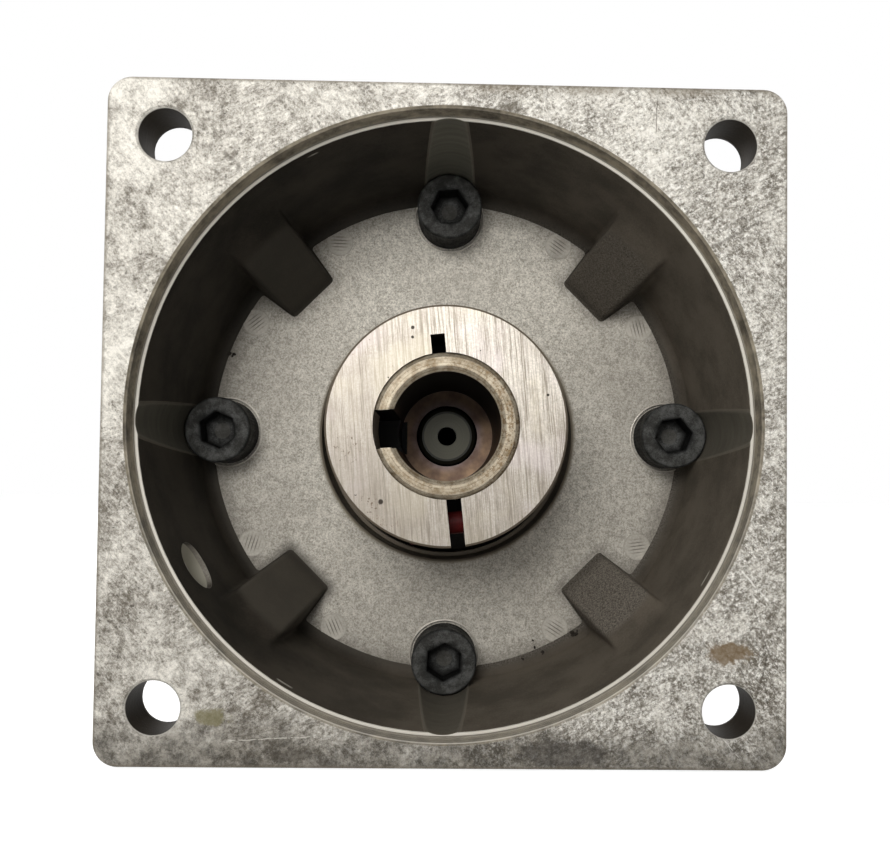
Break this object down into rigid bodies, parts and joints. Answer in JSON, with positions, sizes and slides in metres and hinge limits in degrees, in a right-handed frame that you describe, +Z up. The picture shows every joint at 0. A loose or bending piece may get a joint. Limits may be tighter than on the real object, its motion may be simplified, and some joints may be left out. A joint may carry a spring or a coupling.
{
  "type": "planetary gearbox",
  "caption": "Single stage planetary gearbox with square motor adapter, clamp ring input bore, pilot flanges and a keyed output shaft.",
  "frame": {"origin": "on the shaft line, in the plane of the output mounting face", "axes": "+Y along the shaft line out of the output side, -Y towards the motor, +Z up across the flats; the part lies on the flat lower edges of both flanges"},
  "size_m": [0.14, 0.2701, 0.14],
  "materials": {
    "cast_aluminium": "cast, worn machined face",
    "housing_casting": "cast, satin",
    "turned_aluminium": "turned, satin",
    "housing_steel": "turned, satin",
    "black_oxide": "black oxide, satin",
    "nitrile": "moulded, matt",
    "spring_steel": "phosphated, satin",
    "bearing_steel": "ground, bright",
    "pressed_brass": "machined, satin",
    "bronze": "rolled, satin",
    "worn_shaft_steel": "ground, stained",
    "brushed_ring_steel": "brushed, bright",
    "threadlocked_screw": "black oxide with red thread lock",
    "gear_steel": "ground, bright"
  },
  "bodies": {
    "housing": {"motor_adapter": "cast_aluminium", "adapter_screws": "black_oxide", "input_plate": "turned_aluminium", "plate_screws": "black_oxide", "input_seal": "nitrile", "input_race_circlip": "spring_steel", "input_outer_race": "bearing_steel", "input_o_ring": "nitrile", "ring_gear": "housing_steel", "housing_screws": "black_oxide", "output_o_ring": "nitrile", "output_housing": "housing_casting", "oil_plugs": "black_oxide", "output_seal": "nitrile", "front_outer_race": "bearing_steel", "front_race_circlip": "spring_steel", "rear_outer_race": "bearing_steel"},
    "input_shaft": {"hollow_shaft": "worn_shaft_steel", "clamp_ring": "brushed_ring_steel", "clamp_screw": "threadlocked_screw", "sun_gear": "gear_steel", "input_inner_race": "bearing_steel", "input_shaft_circlip": "spring_steel"},
    "carrier": {"planet_carrier": "gear_steel", "planet_pins": "bearing_steel", "thrust_washers": "bronze", "front_inner_race": "bearing_steel", "bearing_spacer": "bearing_steel", "rear_inner_race": "bearing_steel", "output_shaft_circlip": "spring_steel"},
    "input_rolling_set": {"input_balls": "bearing_steel", "input_cage": "pressed_brass"},
    "front_rolling_set": {"front_balls": "bearing_steel", "front_cage": "pressed_brass"},
    "rear_rolling_set": {"rear_balls": "bearing_steel", "rear_cage": "pressed_brass"},
    "planet_1": {"planet_gear_1": "gear_steel"},
    "needle_set_1": {"needles_1": "bearing_steel"},
    "planet_2": {"planet_gear_2": "gear_steel"},
    "needle_set_2": {"needles_2": "bearing_steel"},
    "planet_3": {"planet_gear_3": "gear_steel"},
    "needle_set_3": {"needles_3": "bearing_steel"}
  },
  "joints": [
    {"name": "carrier_turn", "type": "hinge", "parent": "housing", "child": "carrier", "pos_m": [0, 0, 0], "axis": [0, 1, 0], "continuous": true},
    {"name": "input_turn", "type": "hinge", "parent": "housing", "child": "input_shaft", "pos_m": [0, -0.15, 0], "axis": [0, 1, 0], "continuous": true},
    {"name": "input_balls_turn", "type": "hinge", "parent": "housing", "child": "input_rolling_set", "pos_m": [0, -0.1151, 0], "axis": [0, 1, 0], "continuous": true},
    {"name": "front_balls_turn", "type": "hinge", "parent": "housing", "child": "front_rolling_set", "pos_m": [0, -0.017, 0], "axis": [0, 1, 0], "continuous": true},
    {"name": "rear_balls_turn", "type": "hinge", "parent": "housing", "child": "rear_rolling_set", "pos_m": [0, -0.047, 0], "axis": [0, 1, 0], "continuous": true},
    {"name": "planet_1_turn", "type": "hinge", "parent": "carrier", "child": "planet_1", "pos_m": [0, -0.0805, 0.02813], "axis": [0, 1, 0], "continuous": true},
    {"name": "needles_1_turn", "type": "hinge", "parent": "carrier", "child": "needle_set_1", "pos_m": [0, -0.0805, 0.02813], "axis": [0, 1, 0], "continuous": true},
    {"name": "planet_2_turn", "type": "hinge", "parent": "carrier", "child": "planet_2", "pos_m": [-0.02436, -0.0805, -0.01406], "axis": [0, 1, 0], "continuous": true},
    {"name": "needles_2_turn", "type": "hinge", "parent": "carrier", "child": "needle_set_2", "pos_m": [-0.02436, -0.0805, -0.01406], "axis": [0, 1, 0], "continuous": true},
    {"name": "planet_3_turn", "type": "hinge", "parent": "carrier", "child": "planet_3", "pos_m": [0.02436, -0.0805, -0.01406], "axis": [0, 1, 0], "continuous": true},
    {"name": "needles_3_turn", "type": "hinge", "parent": "carrier", "child": "needle_set_3", "pos_m": [0.02436, -0.0805, -0.01406], "axis": [0, 1, 0], "continuous": true}
  ],
  "couplings": [
    {"joint": "input_turn", "follows": "carrier_turn", "ratio": 5},
    {"joint": "input_balls_turn", "follows": "carrier_turn", "ratio": 2.1306},
    {"joint": "front_balls_turn", "follows": "carrier_turn", "ratio": 0.43121},
    {"joint": "rear_balls_turn", "follows": "carrier_turn", "ratio": 0.43955},
    {"joint": "planet_1_turn", "follows": "carrier_turn", "ratio": -2.6667},
    {"joint": "needles_1_turn", "follows": "carrier_turn", "ratio": -1.5833},
    {"joint": "planet_2_turn", "follows": "carrier_turn", "ratio": -2.6667},
    {"joint": "needles_2_turn", "follows": "carrier_turn", "ratio": -1.5833},
    {"joint": "planet_3_turn", "follows": "carrier_turn", "ratio": -2.6667},
    {"joint": "needles_3_turn", "follows": "carrier_turn", "ratio": -1.5833}
  ]
}
